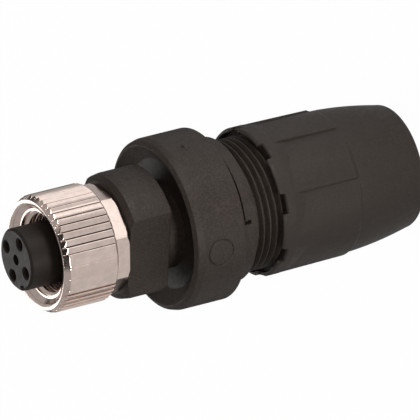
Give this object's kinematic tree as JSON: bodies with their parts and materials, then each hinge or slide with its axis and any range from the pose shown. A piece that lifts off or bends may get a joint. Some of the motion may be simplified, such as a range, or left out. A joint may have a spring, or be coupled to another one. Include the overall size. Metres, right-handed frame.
{
  "type": "m12 connector",
  "caption": "Straight circular M12 female cable connector with knurled metal coupling nut, keyed socket insert, plastic housing and toothed gland nut for quick wiring.",
  "frame": {"origin": "centre of the flat cable end that the connector stands on", "axes": "+Z along the connector towards the mating face, the key way 177 degrees round from +X"},
  "size_m": [0.024, 0.024, 0.0595],
  "materials": {
    "nickel_plate": "bright nickel plate over brass, lightly satin",
    "body_plastic": "black moulded polyamide, fine spark texture",
    "insert_plastic": "black moulded contact carrier, smooth matt",
    "inner_plastic": "dark grey moulded polyamide",
    "seal_rubber": "black sealing rubber",
    "gilt_contact": "gold-plated turned contact",
    "tin_plate": "tin-plated stamped bronze",
    "washer_plastic": "natural slip washer"
  },
  "bodies": {
    "body": {"contact_insert": "insert_plastic", "face_ring": "seal_rubber", "front_sleeve": "body_plastic", "spigot_ring": "seal_rubber", "housing": "body_plastic", "fork_carrier": "inner_plastic", "socket_1": "gilt_contact", "socket_2": "gilt_contact", "socket_3": "gilt_contact", "socket_4": "gilt_contact", "wire_fork_1": "tin_plate", "wire_fork_2": "tin_plate", "wire_fork_3": "tin_plate", "wire_fork_4": "tin_plate"},
    "coupling": {"coupling_nut": "nickel_plate"},
    "gland_slide": {"wire_organiser": "inner_plastic", "cable_seal": "seal_rubber", "slip_washer": "washer_plastic", "clamp_cage": "inner_plastic"},
    "gland_nut": {"union_nut": "body_plastic"}
  },
  "joints": [
    {"name": "coupling_turn", "type": "hinge", "parent": "body", "child": "coupling", "pos_m": [0, 0, 0.0475], "axis": [0, 0, 1], "continuous": true},
    {"name": "gland_travel", "type": "slide", "parent": "body", "child": "gland_slide", "axis": [0, 0, 1], "range_m": [-0.00201, 0.00351]},
    {"name": "gland_turn", "type": "hinge", "parent": "gland_slide", "child": "gland_nut", "pos_m": [0, 0, 0.0145], "axis": [0, 0, 1], "range_deg": [-720, 1260]}
  ],
  "couplings": [
    {"joint": "gland_travel", "follows": "gland_turn", "m_per_rad": 0.00015915}
  ]
}
